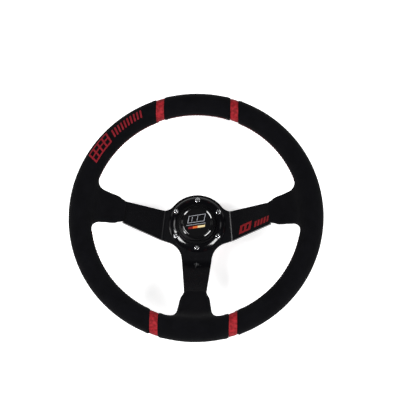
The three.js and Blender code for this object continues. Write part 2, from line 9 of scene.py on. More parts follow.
import bmesh
import bpy
import numpy as np
from mathutils import Matrix, Vector


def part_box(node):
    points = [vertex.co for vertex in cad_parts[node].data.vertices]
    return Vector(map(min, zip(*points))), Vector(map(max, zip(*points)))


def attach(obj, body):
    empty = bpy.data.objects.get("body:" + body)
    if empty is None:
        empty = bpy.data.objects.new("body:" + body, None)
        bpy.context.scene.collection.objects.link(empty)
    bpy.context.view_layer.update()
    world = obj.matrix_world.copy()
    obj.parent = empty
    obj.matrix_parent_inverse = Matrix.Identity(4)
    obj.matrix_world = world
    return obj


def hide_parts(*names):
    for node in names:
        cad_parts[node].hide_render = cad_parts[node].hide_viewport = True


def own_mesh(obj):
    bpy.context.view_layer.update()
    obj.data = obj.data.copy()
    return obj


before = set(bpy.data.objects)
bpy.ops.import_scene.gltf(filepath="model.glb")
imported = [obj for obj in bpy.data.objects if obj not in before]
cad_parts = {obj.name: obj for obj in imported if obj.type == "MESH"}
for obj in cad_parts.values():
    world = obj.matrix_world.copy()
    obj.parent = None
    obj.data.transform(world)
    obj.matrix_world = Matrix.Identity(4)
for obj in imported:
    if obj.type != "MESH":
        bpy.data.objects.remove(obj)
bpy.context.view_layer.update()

MM = 0.001


def cad_box(node):
    """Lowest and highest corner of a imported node, in millimetres."""
    low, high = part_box(node)
    return np.array(low) / MM, np.array(high) / MM


# ------------ sizes read from the frame

panel_low, panel_high = cad_box("suede_top")
RIM_Z = (panel_low[2] + panel_high[2]) / 2  # height of the middle of the grip tube
GRIP_RADIUS = (panel_high[2] - panel_low[2]) / 2
RIM_RADIUS = -cad_box("suede_left")[0][0] - GRIP_RADIUS
band_low, band_high = cad_box("band_top_right")
BAND_NEAR_X, BAND_FAR_X = band_low[0], band_high[0]
BAND_RADIUS = (band_high[2] - band_low[2]) / 2

PLATE_BACK = cad_box("spoke_frame")[0][2]
PLATE_THICKNESS = 4
PLATE_FRONT = PLATE_BACK + PLATE_THICKNESS
PLATE_MIDDLE = PLATE_BACK + PLATE_THICKNESS / 2

# ------------ spokes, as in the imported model

HUB_RADIUS = 44.6
HUB_BORE = 27
SIDE_SPOKE_ANGLE = math.radians(5.3)
UPPER_EDGE = 15.9
UPPER_FILLET = 18
FILLET_RISE = UPPER_EDGE + UPPER_FILLET  # to the upper fillet's centre, across a side spoke
FILLET_REACH = math.sqrt((HUB_RADIUS + UPPER_FILLET) ** 2 - FILLET_RISE**2)  # along it
LOWER_FILLET = 27
TANG_START = 103.3
TANG_HALF_WIDTH = 10.5
TANG_END = 150
EDGE_TAPER = 0.228  # of a side spoke's lower edge, for each millimetre outwards

BOLT_CIRCLE_RADIUS = 35
BOLT_HOLE_RADIUS = 2.8
BOLT_POCKET_RADIUS = 4.2


def polar(radius, angle):
    return radius * math.cos(angle), radius * math.sin(angle)


BOLT_PLACES = [polar(BOLT_CIRCLE_RADIUS, math.pi / 6 + k * math.pi / 3) for k in range(6)]


def upper_edge(out):
    """Upper edge of a side spoke, across from its own axis."""
    if out >= FILLET_REACH:
        return UPPER_EDGE
    return FILLET_RISE - math.sqrt(UPPER_FILLET**2 - (FILLET_REACH - out) ** 2)


def lower_edge(out):
    """Lower edge of a side spoke."""
    return 26.9 - (out - 54) * EDGE_TAPER


def bottom_edge(out):
    """Half the width of the bottom spoke."""
    return 21.7 - (out - 51) * 0.116


class Spoke:
    """A bent spoke: its direction, its bend, where the flat hub ends, and how its grip root is set."""

    def __init__(self, angle, corner, radius, hub_edge, root_shift, root_widen):
        self.angle = angle
        self.radius = radius
        self.hub_edge = hub_edge
        self.root_shift = root_shift
        self.root_widen = root_widen
        self.slope = math.atan((RIM_Z - PLATE_MIDDLE) / (RIM_RADIUS - corner))
        self.bend_start = corner - radius * math.tan(self.slope / 2)
        self.bend_end = self.bend_start + radius * self.slope

    def line(self, length):
        """Middle line at a length from the axis: distance out, height, slope."""
        if length <= self.bend_start:
            return length, PLATE_MIDDLE, 0.0
        slope = min((length - self.bend_start) / self.radius, self.slope)
        straight = max(length - self.bend_end, 0)
        out = self.bend_start + self.radius * math.sin(slope) + straight * math.cos(slope)
        height = PLATE_MIDDLE + self.radius * (1 - math.cos(slope)) + straight * math.sin(slope)
        return out, height, slope

    def length_at(self, out):
        """Length along the middle line at a distance out, past the bend."""
        bend_out = self.bend_start + self.radius * math.sin(self.slope)
        return self.bend_end + (out - bend_out) / math.cos(self.slope)

    def plan(self, out, across):
        """Place in the XY plane of a point out along the spoke and across to its left."""
        cos, sin = math.cos(self.angle), math.sin(self.angle)
        return np.array([out * cos - across * sin, out * sin + across * cos])

    def out_and_across(self, x, y):
        """Where a place in the XY plane lies, seen along the spoke."""
        cos, sin = math.cos(self.angle), math.sin(self.angle)
        return x * cos + y * sin, y * cos - x * sin

    def point(self, length, across, up):
        """Point on the bent spoke, at a height above its middle surface."""
        out, height, slope = self.line(length)
        x, y = self.plan(out - up * math.sin(slope), across)
        return np.array([x, y, height + up * math.cos(slope)])


# Direction, corner and radius of the bend, edge of the flat hub, shift and extra width of the root
SPOKES = {
    "right": Spoke(SIDE_SPOKE_ANGLE, 49, 10, 45.9, 1.4, -0.2),
    "left": Spoke(math.pi - SIDE_SPOKE_ANGLE, 49, 10, 45.9, -1.4, -0.2),
    "bottom": Spoke(-math.pi / 2, 55.5, 14, 51, 0, 0.5),
}
WIDEST_EDGE = 40  # no spoke reaches this far across


def bend_point(point):
    """A point of the flat, unbent plate moved to where the bent spokes carry it."""
    x, y, z = point
    for spoke in SPOKES.values():
        length, across = spoke.out_and_across(x, y)
        if length > spoke.bend_start and abs(across) < WIDEST_EDGE:
            return Vector(spoke.point(length, across, z - PLATE_MIDDLE))
    return Vector(point)


# ------------ mesh helpers


def put(name, data):
    """Puts a new object in the scene."""
    made = bpy.data.objects.new(name, data)
    bpy.context.scene.collection.objects.link(made)
    return made


def add_piece(name, mesh, material, node, body="wheel"):
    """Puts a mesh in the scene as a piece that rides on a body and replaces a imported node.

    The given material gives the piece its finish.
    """
    piece = put(name, mesh)
    mesh.materials.append(material)
    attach(piece, body)
    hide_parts(node)
    return piece


def mesh_from(name, points, faces, sharp=35):
    """Mesh in metres from points in millimetres, smooth apart from edges over the sharp angle."""
    mesh = bpy.data.meshes.new(name)
    mesh.from_pydata([tuple(np.asarray(p) * MM) for p in points], [], faces)
    mesh.validate()
    finish_shading(mesh, sharp)
    return mesh


def finish_shading(mesh, sharp=35):
    """Makes the faces point out, and smooth between edges sharper than the angle."""
    bm = bmesh.new()
    bm.from_mesh(mesh)
    bmesh.ops.remove_doubles(bm, verts=bm.verts, dist=1e-7)
    bmesh.ops.recalc_face_normals(bm, faces=bm.faces)
    for face in bm.faces:
        face.smooth = True
    bm.to_mesh(mesh)
    bm.free()
    mesh.set_sharp_from_angle(angle=math.radians(sharp))


ARC_STEPS = 3


def rounded(profile, radius, closed):
    """Rounds the corners of a profile of [radius, height] points. A third value is a corner's own radius.

    A point just beyond each end of an arc keeps the shading of the straight part flat.
    """
    count = len(profile)
    made = []
    for k, corner in enumerate(profile):
        here = np.array(corner[:2], float)
        own = corner[2] if len(corner) > 2 else radius
        if (not closed and k in (0, count - 1)) or own <= 0:
            made.append(here)
            continue
        before = np.array(profile[k - 1][:2], float) - here
        after = np.array(profile[(k + 1) % count][:2], float) - here
        la, lb = np.linalg.norm(before), np.linalg.norm(after)
        before, after = before / la, after / lb
        half = math.acos(max(-1, min(1, before @ after))) / 2
        if half > math.radians(89.5):
            made.append(here)
            continue
        back = min(own / math.tan(half), la * 0.4, lb * 0.4)
        arc_radius = back * math.tan(half)
        bisector = (before + after) / np.linalg.norm(before + after)
        centre = here + bisector * arc_radius / math.sin(half)
        start = here + before * back - centre
        end = here + after * back - centre
        swing = math.atan2(start[0] * end[1] - start[1] * end[0], start @ end)
        made.append(here + before * (back + min(0.08, la * 0.05)))
        for j in range(ARC_STEPS + 1):
            turn = swing * j / ARC_STEPS
            c, s = math.cos(turn), math.sin(turn)
            made.append(centre + np.array([c * start[0] - s * start[1], s * start[0] + c * start[1]]))
        made.append(here + after * (back + min(0.08, lb * 0.05)))
    return made


def lathe_mesh(name, profile, closed=False, segments=128, radius=0.35):
    """Turned mesh about the Z axis. An open profile runs from axis to axis."""
    outline = rounded(profile, radius, closed)
    points, rows = [], []
    for r, z in outline:
        if r < 1e-6:
            rows.append([len(points)] * segments)
            points.append((0, 0, z))
            continue
        rows.append(list(range(len(points), len(points) + segments)))
        points += [(*place, z) for place in circle(r, segments)]
    faces = []
    pairs = list(zip(rows, rows[1:] + ([rows[0]] if closed else [])))
    for one, two in pairs:
        for k in range(segments):
            n = (k + 1) % segments
            loop = [one[k], one[n], two[n], two[k]]
            face = [v for j, v in enumerate(loop) if v != loop[j - 1]]
            if len(face) > 2:
                faces.append(face)
    return mesh_from(name, points, faces)


def tube_faces(rows, sides, first=0):
    """Faces of a closed tube whose points are rows, each once round it, with both ends filled."""
    faces = []
    last = first + (rows - 1) * sides
    for row in range(first, last, sides):
        for k in range(sides):
            n = (k + 1) % sides
            faces.append([row + k, row + n, row + sides + n, row + sides + k])
    return [*faces, list(range(first, first + sides)), list(range(last, last + sides))]


def prism_mesh(name, outline, bottom, top):
    """Upright prism on a closed outline of XY points."""
    points = [(x, y, z) for z in (bottom, top) for x, y in outline]
    return mesh_from(name, points, tube_faces(2, len(outline)))


def circle(radius, count, centre=(0, 0)):
    """Points round a circle."""
    around = [polar(radius, 2 * math.pi * k / count) for k in range(count)]
    return [(centre[0] + x, centre[1] + y) for x, y in around]


def evaluated_mesh(thing):
    """The mesh of an object with its modifiers applied."""
    bpy.context.view_layer.update()
    return bpy.data.meshes.new_from_object(thing.evaluated_get(bpy.context.evaluated_depsgraph_get()))


def carve(mesh, cutters, operation="DIFFERENCE", sharp=35):
    """The mesh with the cutter meshes taken away, or joined."""
    target = put("carve_target", mesh)
    tools = [put("carve_tool", cutter) for cutter in cutters]
    for tool in tools:
        modifier = target.modifiers.new("cut", "BOOLEAN")
        modifier.operation = operation
        modifier.solver = "EXACT"
        modifier.object = tool
    made = evaluated_mesh(target)
    made.name = mesh.name
    for thing in [target, *tools]:
        bpy.data.objects.remove(thing)
    finish_shading(made, sharp)
    return made


def soften(piece, width, segments, angle=40):
    """Rounds a piece's sharp edges by a width in millimetres, and keeps its flat faces flat."""
    bevel = piece.modifiers.new("edges", "BEVEL")
    bevel.width = width * MM
    bevel.segments = segments
    bevel.limit_method = "ANGLE"
    bevel.angle_limit = math.radians(angle)
    bevel.harden_normals = True


def moved(mesh, matrix):
    """A copy of a mesh moved by a matrix, whose lengths are in metres."""
    copy = mesh.copy()
    copy.transform(matrix)
    return copy


# ------------ materials


def fill(node, **values):
    """Sets a node's input values, named with _ for each space."""
    for key, value in values.items():
        node.inputs[key.replace("_", " ")].default_value = value


class Surface:
    """Builds one node-based material, step by step."""

    def __init__(self, name, colour, roughness, metallic=0.0):
        self.material = bpy.data.materials.new(name)
        self.material.use_nodes = True
        self.tree = self.material.node_tree
        self.link = self.tree.links.new
        self.shader = self.tree.nodes["Principled BSDF"]
        fill(self.shader, Base_Color=(*colour, 1), Roughness=roughness, Metallic=metallic)
        self.height = None

    def node(self, kind, **values):
        made = self.tree.nodes.new(kind)
        fill(made, **values)
        return made

    def noise(self, scale, detail=4.0, roughness=0.6, stretch=None):
        """Noise with features about 1/scale metres wide. A stretch squeezes it along an axis."""
        made = self.node("ShaderNodeTexNoise", Scale=scale, Detail=detail, Roughness=roughness)
        source = self.node("ShaderNodeTexCoord").outputs["Object"]
        if stretch:
            mapping = self.node("ShaderNodeMapping", Scale=stretch)
            self.link(source, mapping.inputs["Vector"])
            source = mapping.outputs["Vector"]
        self.link(source, made.inputs["Vector"])
        return made.outputs["Fac"]

    def remap(self, value, low, high, to_low, to_high):
        made = self.node("ShaderNodeMapRange", From_Min=low, From_Max=high, To_Min=to_low, To_Max=to_high)
        self.link(value, made.inputs["Value"])
        return made.outputs["Result"]

    def vary_colour(self, scale, first, second, low=0.35, high=0.65):
        """Runs the colour from first to second as a noise runs from low to high."""
        made = self.node("ShaderNodeMix")
        made.data_type = "RGBA"
        fill(made, A=(*first, 1), B=(*second, 1))
        self.link(self.remap(self.noise(scale), low, high, 0, 1), made.inputs["Factor"])
        self.link(made.outputs["Result"], self.shader.inputs["Base Color"])

    def vary_roughness(self, scale, low, high, stretch=None):
        share = self.remap(self.noise(scale, stretch=stretch), 0.3, 0.7, low, high)
        self.link(share, self.shader.inputs["Roughness"])

    def bump(self, output, distance, strength):
        """Adds relief of a height in millimetres on top of any relief so far."""
        made = self.node("ShaderNodeBump", Distance=distance * MM, Strength=strength)
        self.link(output, made.inputs["Height"])
        if self.height is not None:
            self.link(self.height, made.inputs["Normal"])
        self.height = made.outputs["Normal"]
        self.link(self.height, self.shader.inputs["Normal"])


def suede_material():
    made = Surface("suede_nap", (0.0020, 0.0020, 0.0028), 0.95)
    made.vary_colour(55, (0.0014, 0.0014, 0.0021), (0.0025, 0.0025, 0.0035))
    made.bump(made.noise(2600, 3, 0.7), 0.10, 0.6)
    made.bump(made.noise(420, 3, 0.6), 0.12, 0.35)
    fill(made.shader, Sheen_Weight=0.02, Sheen_Roughness=0.4, Specular_IOR_Level=0.08)
    return made.material


def band_material():
    made = Surface("red_band_leather", (0.25, 0.010, 0.016), 0.7)
    made.vary_colour(240, (0.16, 0.006, 0.009), (0.33, 0.015, 0.022), 0.38, 0.62)
    made.bump(made.noise(1500, 3, 0.6), 0.10, 0.5)
    fill(made.shader, Specular_IOR_Level=0.15)
    return made.material


def alloy_material(name, colour, roughness, spread=0.06, grain=900, specular=0.5):
    """Anodised aluminium: a dark metal with a fine blasted grain."""
    made = Surface(name, colour, roughness)
    made.vary_roughness(grain, roughness - spread, roughness + spread)
    made.bump(made.noise(grain * 3, 2, 0.5), 0.006, 0.2)
    fill(made.shader, Specular_IOR_Level=specular)
    return made.material


def gloss_material(name, colour, roughness=0.12, relief=0.01):
    """Glossy moulded plastic with a very slight unevenness."""
    made = Surface(name, colour, roughness)
    made.vary_roughness(300, roughness * 0.7, roughness * 1.4)
    made.bump(made.noise(90, 2, 0.5), relief, 0.2)
    fill(made.shader, Coat_Weight=0.3, Coat_Roughness=0.06)
    return made.material


def metal_material(name, colour, roughness, grain=700, stretch=(1, 1, 1)):
    """Bare metal with fine machining marks, which a stretch draws out."""
    made = Surface(name, colour, roughness, 1.0)
    made.vary_roughness(grain, roughness * 0.7, roughness * 1.35, stretch)
    made.bump(made.noise(grain * 2, 2, 0.5, stretch), 0.015, 0.3)
    return made.material


def print_material(name, colour):
    """Smooth screen-printed ink."""
    made = Surface(name, colour, 0.5)
    made.vary_colour(700, tuple(0.88 * c for c in colour), colour)
    made.bump(made.noise(1800, 2, 0.5), 0.004, 0.2)
    fill(made.shader, Specular_IOR_Level=0.15)
    return made.material


def thread_material(name, colour):
    made = Surface(name, colour, 0.75)
    made.vary_colour(900, tuple(0.8 * c for c in colour), tuple(1.15 * c for c in colour))
    made.bump(made.noise(3500, 2, 0.6), 0.05, 0.6)
    fill(made.shader, Specular_IOR_Level=0.15)
    return made.material


def foam_material():
    made = Surface("moulded_foam", (0.02, 0.02, 0.021), 0.9)
    made.bump(made.noise(900, 3, 0.6), 0.2, 0.5)
    return made.material


SUEDE = suede_material()
BAND = band_material()
FOAM = foam_material()
SPOKE_BLACK = alloy_material("satin_black_anodised", (0.0026, 0.0026, 0.0034), 0.2, 0.02, 250)
RING_BLACK = alloy_material("gloss_black_anodised", (0.0025, 0.0025, 0.0032), 0.11, 0.02)
COUPLER_BLACK = alloy_material("coupler_black_anodised", (0.010, 0.010, 0.011), 0.32)
PLASTIC = gloss_material("gloss_black_plastic", (0.0035, 0.0035, 0.004))
DISC = gloss_material("emblem_gloss", (0.005, 0.005, 0.0055), 0.1)
HOUSING = alloy_material("horn_housing_satin", (0.0025, 0.0025, 0.003), 0.3, 0.04, 600, 0.1)
BEZEL = gloss_material("bezel_gloss", (0.004, 0.004, 0.0045), 0.05, 0.002)
PRINT_WHITE = print_material("print_white", (0.34, 0.35, 0.38))
PRINT_RED = print_material("print_red", (0.17, 0.003, 0.006))
PRINT_ORANGE = print_material("print_orange", (0.60, 0.12, 0.02))
PRINT_YELLOW = print_material("print_yellow", (0.72, 0.58, 0.30))
BOLT_STEEL = metal_material("bright_zinc", (0.88, 0.89, 0.91), 0.2)
BALL_STEEL = metal_material("bearing_steel", (0.74, 0.75, 0.77), 0.08)
SPRING_STEEL = metal_material("spring_steel", (0.34, 0.34, 0.36), 0.3)
HUB_STEEL = metal_material("machined_steel", (0.36, 0.36, 0.37), 0.3, 500, (1, 1, 12))
HOOP_STEEL = metal_material("hoop_steel", (0.40, 0.40, 0.41), 0.4)
BRASS = metal_material("brass", (0.62, 0.42, 0.12), 0.25)
COLLAR_RED = metal_material("red_anodised", (0.36, 0.008, 0.014), 0.26, 600, (1, 1, 10))
EMBROIDERY_RED = thread_material("satin_thread", (0.20, 0.0075, 0.014))
# The seam's stitches use the embroidery's red thread, painted darker as shade on the grip's inner side
SEAM_RED_PAINTED_SHADE = thread_material("seam_thread_painted_shade", (0.13, 0.006, 0.012))


# ------------ camera, light and floor

CAMERA_PLACE = (44.9, -274.2, 1098.6)  # from the middle of the rim
CAMERA_TURN = (14.971, 1.787, 0.944)  # about X, Y and Z, in degrees, from looking straight down
LENS = 74.3


def make_camera():
    data = bpy.data.cameras.new("camera")
    data.lens = LENS
    data.sensor_width = 36
    data.clip_start, data.clip_end = 0.01, 50
    camera = put("camera", data)
    camera.location = (Vector(CAMERA_PLACE) + Vector((0, 0, RIM_Z))) * MM
    camera.rotation_euler = [math.radians(angle) for angle in CAMERA_TURN]
    bpy.context.scene.camera = camera


def area_light(name, place, size, power):
    """Soft box that faces the middle of the hub, with its place and size in metres."""
    data = bpy.data.lights.new(name, "AREA")
    data.shape = "RECTANGLE"
    data.size, data.size_y = size
    data.energy = power
    lamp = put(name, data)
    lamp.location = place
    direction = Vector((0, 0, PLATE_FRONT * MM)) - Vector(place)
    lamp.rotation_euler = direction.to_track_quat("-Z", "Y").to_euler()


def make_studio():
    scene = bpy.context.scene
    scene.view_settings.view_transform = "Standard"
    world = bpy.data.worlds.new("studio")
    world.use_nodes = True
    tree = world.node_tree
    sky = tree.nodes["Background"]
    sky.inputs["Color"].default_value = (1, 1, 1, 1)
    # White walls low down, and a dark ceiling
    direction = tree.nodes.new("ShaderNodeTexCoord")
    split = tree.nodes.new("ShaderNodeSeparateXYZ")
    level = tree.nodes.new("ShaderNodeMapRange")
    fill(level, From_Min=0, From_Max=0.36, To_Min=0.5, To_Max=0.015)
    tree.links.new(direction.outputs["Generated"], split.inputs["Vector"])
    tree.links.new(split.outputs["Z"], level.inputs["Value"])
    tree.links.new(level.outputs["Result"], sky.inputs["Strength"])
    scene.world = world
    area_light("fill_left", (-0.76, 0.30, 1.22), (0.28, 0.28), 0.9)
    area_light("fill_right", (0.82, 0.29, 1.2), (0.22, 0.28), 0.22)
    area_light("soft_box_left", (-0.689, -0.153, 1.262), (0.5, 0.5), 15)
    area_light("soft_box_right", (0.777, -0.487, 1.111), (0.5, 0.5), 15)

    reach = 6.0
    corners = [(-reach, -reach, 0), (reach, -reach, 0), (reach, reach, 0), (-reach, reach, 0)]
    mesh = bpy.data.meshes.new("floor")
    mesh.from_pydata(corners, [], [(0, 1, 2, 3)])
    made = Surface("white_floor", (0.93, 0.93, 0.93), 0.9)
    made.vary_roughness(3, 0.85, 0.95)
    fill(made.shader, Emission_Color=(1, 1, 1, 1), Emission_Strength=0.65, Specular_IOR_Level=0.1)
    mesh.materials.append(made.material)
    floor = put("floor", mesh)


# ------------ spoke frame


def arc_points(centre, radius, start, end, steps):
    return [np.array(polar(radius, start + (end - start) * k / steps)) + centre for k in range(steps + 1)]


def fillet_between(a, b, c, d, radius):
    """Arc of a radius that joins the line from a to b with the line from c to d."""
    one = (b - a) / np.linalg.norm(b - a)
    two = (d - c) / np.linalg.norm(d - c)
    cross = one[0] * two[1] - one[1] * two[0]
    along = ((c[0] - a[0]) * two[1] - (c[1] - a[1]) * two[0]) / cross
    corner = a + one * along
    turn = math.acos(one @ two)
    side = math.copysign(1, cross)
    first = corner - one * radius * math.tan(turn / 2)
    centre = first + side * radius * np.array([-one[1], one[0]])
    start = math.atan2(first[1] - centre[1], first[0] - centre[0])
    return arc_points(centre, radius, start, start + side * turn, 16)


def spoke_edge(spoke, edge, side):
    """Edge of one spoke from the hub to its hidden tang, on the flat, unbent plate."""
    tang = spoke.length_at(TANG_START)
    lengths = np.linspace(spoke.hub_edge, tang, 22)
    points = [spoke.plan(length, side * edge(spoke.line(length)[0])) for length in lengths]
    ends = (tang, spoke.length_at(TANG_END))
    return points + [spoke.plan(length, side * TANG_HALF_WIDTH) for length in ends]


def frame_outline():
    """Outline of the whole plate before its spokes are bent."""
    right, bottom = SPOKES["right"], SPOKES["bottom"]
    centre = right.plan(FILLET_REACH, FILLET_RISE)
    touch = math.atan2(centre[1], centre[0])
    turn_end = right.angle - math.pi / 2 - math.asin((FILLET_REACH - right.hub_edge) / UPPER_FILLET)
    dome = arc_points(np.zeros(2), HUB_RADIUS, math.pi / 2, touch, 40)
    fillet = arc_points(centre, UPPER_FILLET, touch - math.pi, turn_end, 10)
    corner = fillet_between(
        right.plan(right.hub_edge, -lower_edge(right.hub_edge)),
        right.plan(0, -lower_edge(0)),
        bottom.plan(0, bottom_edge(0)),
        bottom.plan(bottom.hub_edge, bottom_edge(bottom.hub_edge)),
        LOWER_FILLET,
    )
    upper_side = spoke_edge(right, upper_edge, 1)
    lower_side = spoke_edge(right, lower_edge, -1)[::-1]
    half = [*dome, *fillet[1:-1], *upper_side, *lower_side, *corner, *spoke_edge(bottom, bottom_edge, 1)]
    mirrored = [np.array([-x, y]) for x, y in half[1:][::-1]]
    return half + mirrored


def make_spoke_frame():
    """Flat plate with its holes, sliced finely across the bends and then bent."""
    bm = bmesh.new()
    loops = [frame_outline(), circle(HUB_BORE, 96)]
    loops += [circle(BOLT_HOLE_RADIUS, 24, place) for place in BOLT_PLACES]
    edges = []
    for loop in loops:
        verts = [bm.verts.new((x, y, PLATE_BACK)) for x, y in loop]
        edges += [bm.edges.new((a, b)) for a, b in zip(verts, verts[1:] + verts[:1])]
    bmesh.ops.triangle_fill(bm, edges=edges, use_beauty=True, use_dissolve=False)
    for item in bmesh.ops.extrude_face_region(bm, geom=bm.faces[:])["geom"]:
        if isinstance(item, bmesh.types.BMVert):
            item.co.z = PLATE_FRONT
    for spoke in SPOKES.values():
        for length in np.linspace(spoke.bend_start, spoke.bend_end, 15):
            normal = (math.cos(spoke.angle), math.sin(spoke.angle), 0)
            geometry = bm.verts[:] + bm.edges[:] + bm.faces[:]
            place = (*spoke.plan(length, 0), 0)
            bmesh.ops.bisect_plane(bm, geom=geometry, plane_co=place, plane_no=normal, dist=1e-4)
    for vert in bm.verts:
        vert.co = bend_point(vert.co) * MM
    mesh = bpy.data.meshes.new("spoke_plate")
    bm.to_mesh(mesh)
    bm.free()
    finish_shading(mesh, 30)
    piece = add_piece("spoke_plate", mesh, SPOKE_BLACK, "spoke_frame")
    soften(piece, 0.5, 3)


# ------------ suede grip

# Half width and half thickness of a grip root, by the distance out.
ROOT_OUT = [103.6, 109, 113, 118, 124, 131, 140, 152]
ROOT_WIDTH = [15.0, 17.1, 19.5, 20.7, 21.4, 22.8, 23.8, 24.5]
ROOT_THICKNESS = [4.6, 4.9, 5.1, 5.3, 5.5, 5.9, 6.6, 7.6]
FILLET = 17.0
PANEL_ROUND = 1.6
SEAM_TURN = 0.14  # the seam lies this far behind the grip's innermost line, in radians


def smooth_min(a, b, k):
    """The lesser of two distances, with a rounded valley k wide between them."""
    h = np.maximum(k - np.abs(a - b), 0) / k
    return np.minimum(a, b) - h * h * k / 4


def smooth_max(a, b, k):
    return -smooth_min(-a, -b, k)


def root_coordinates(points, spoke):
    """Across, and along and off the sloping middle line of a spoke."""
    out, across = spoke.out_and_across(points[:, 0], points[:, 1])
    start_out, start_z, _ = spoke.line(spoke.length_at(ROOT_OUT[0]))
    c, s = math.cos(spoke.slope), math.sin(spoke.slope)
    along = (out - start_out) * c + (points[:, 2] - start_z) * s
    off = -(out - start_out) * s + (points[:, 2] - start_z) * c
    return across - spoke.root_shift, along, off


def root_distance(points, spoke):
    """Signed distance to the suede round one spoke."""
    across, along, off = root_coordinates(points, spoke)
    foot = ROOT_OUT[0] + along * math.cos(spoke.slope)
    width = np.interp(foot, ROOT_OUT, ROOT_WIDTH) + spoke.root_widen
    thick = np.interp(foot, ROOT_OUT, ROOT_THICKNESS)
    corner = np.minimum(thick * 0.8, 4.2)
    q1 = np.abs(across) - width + corner
    q2 = np.abs(off) - thick + corner
    outside = np.hypot(np.maximum(q1, 0), np.maximum(q2, 0))
    section = outside + np.minimum(np.maximum(q1, q2), 0) - corner
    seam = 0.6 * np.exp(-((across / 1.2) ** 2)) * np.exp(-(((off + thick) / 2.5) ** 2))
    length = (ROOT_OUT[-1] - ROOT_OUT[0]) / math.cos(spoke.slope)
    return smooth_max(section + seam, np.maximum(-along, along - length), 1.6)


def grip_distance(points):
    """Signed distance to the whole suede grip, roots and fillets included."""
    ring = np.hypot(points[:, 0], points[:, 1]) - RIM_RADIUS
    height = points[:, 2] - RIM_Z
    distance = np.hypot(ring, height) - GRIP_RADIUS
    around = np.arctan2(height, -ring)
    seam = (around + SEAM_TURN) * GRIP_RADIUS
    groove = 0.7 * np.exp(-((seam / 1.3) ** 2)) * np.exp(-((distance / 3.0) ** 2))
    distance = distance + groove
    for spoke in SPOKES.values():
        distance = smooth_min(distance, root_distance(points, spoke), FILLET)
    return distance


# Each suede panel: a function that is negative on the panel's side of its ends.
END = 0.25
PANEL_ENDS = {
    "suede_top": lambda p: np.maximum(np.abs(p[:, 0]) - BAND_NEAR_X + END, -p[:, 1]),
    "suede_bottom": lambda p: np.maximum(np.abs(p[:, 0]) - BAND_NEAR_X + END, p[:, 1]),
    "suede_left": lambda p: p[:, 0] + BAND_FAR_X + END,
    "suede_right": lambda p: -p[:, 0] + BAND_FAR_X + END,
}


def panel_distance(name, points):
    """Signed distance to one panel, with its ends rolled over towards the bands."""
    end = PANEL_ENDS[name](points)
    swell = 0.35 * np.exp(-(((end + 4) / 3.0) ** 2))
    return smooth_max(grip_distance(points) - swell, end, PANEL_ROUND)


def gradient_of(distance, points, step):
    """How a distance grows along X, Y and Z at each point."""
    gradient = np.empty_like(points)
    for axis in range(3):
        shift = np.zeros(3)
        shift[axis] = step
        gradient[:, axis] = (distance(points + shift) - distance(points - shift)) / (2 * step)
    return gradient


def settle(points, distance):
    """Moves points on to the surface where a distance is zero, by at most 2.5 mm at a time."""
    for _ in range(6):
        gradient = gradient_of(distance, points, 0.02)
        size = np.maximum((gradient**2).sum(1), 0.15)
        points = points - gradient * (np.clip(distance(points), -2.5, 2.5) / size)[:, None]
    return points


def rim_point(theta, phi, radius):
    """Point at an angle round the wheel and an angle round the grip tube, off the tube's middle."""
    out = RIM_RADIUS + radius * math.cos(phi)
    return (*polar(out, theta), RIM_Z + radius * math.sin(phi))


def ring_mesh(angles):
    """Closed bent tube of the grip between the first and the last angle."""
    section = circle(GRIP_RADIUS, 32, (RIM_RADIUS, RIM_Z))
    points = [(*polar(out, theta), z) for theta in angles for out, z in section]
    return mesh_from("tube", points, tube_faces(len(angles), len(section)))


def root_block(spoke):
    """Rough solid of a grip root, which the settling then shapes."""
    sections = []
    for out, width, thick in zip(ROOT_OUT, ROOT_WIDTH, ROOT_THICKNESS):
        wide = width + max(out - 131, 0) * 0.45
        for across, up in ((wide, -thick), (wide, thick), (-wide, thick), (-wide, -thick)):
            sections.append(spoke.point(spoke.length_at(out), across + spoke.root_shift, up))
    return mesh_from("root", sections, tube_faces(len(ROOT_OUT), 4))


VOXEL = 1.3


def make_panel(word, start, end, steps):
    """One suede panel: a rough solid, remeshed evenly, then settled on its exact surface."""
    name = f"suede_{word}"
    spread = 2.2 / RIM_RADIUS
    rough = ring_mesh(np.linspace(start - spread, end + spread, steps))
    if word in SPOKES:
        rough = carve(rough, [root_block(SPOKES[word])], "UNION")
    holder = put("rough_panel", rough)
    remesh = holder.modifiers.new("even", "REMESH")
    remesh.mode = "VOXEL"
    remesh.voxel_size = VOXEL * MM
    mesh = evaluated_mesh(holder)
    bpy.data.objects.remove(holder)
    points = np.empty(len(mesh.vertices) * 3)
    mesh.vertices.foreach_get("co", points)
    points = settle(points.reshape(-1, 3) / MM, lambda p: panel_distance(name, p))
    mesh.vertices.foreach_set("co", (points * MM).ravel())
    mesh.polygons.foreach_set("use_smooth", np.ones(len(mesh.polygons), bool))
    mesh.update()
    mesh.materials.clear()
    piece = add_piece(f"grip_{word}", mesh, SUEDE, name)


def angle_at(x):
    """Angle at which the upper right of the rim's middle circle reaches an X."""
    return math.acos(x / RIM_RADIUS)


def make_grip():
    near, far = angle_at(BAND_NEAR_X - 1), angle_at(BAND_FAR_X + 1)
    make_panel("top", near, math.pi - near, 40)
    make_panel("bottom", -math.pi + near, -near, 40)
    make_panel("right", -far, far, 120)
    make_panel("left", math.pi - far, math.pi + far, 120)


def band_points(columns, sides):
    """Points of the upper right band, which is slightly crowned."""
    lip, crown = 0.2, 0.25
    points = []
    for share in np.linspace(0, 1, columns):
        x = BAND_NEAR_X - lip + (BAND_FAR_X - BAND_NEAR_X + 2 * lip) * share
        radius = BAND_RADIUS - crown * (2 * share - 1) ** 4
        for out, z in circle(radius, sides, (RIM_RADIUS, RIM_Z)):
            points.append((x, math.sqrt(out * out - x * x), z))
    return points


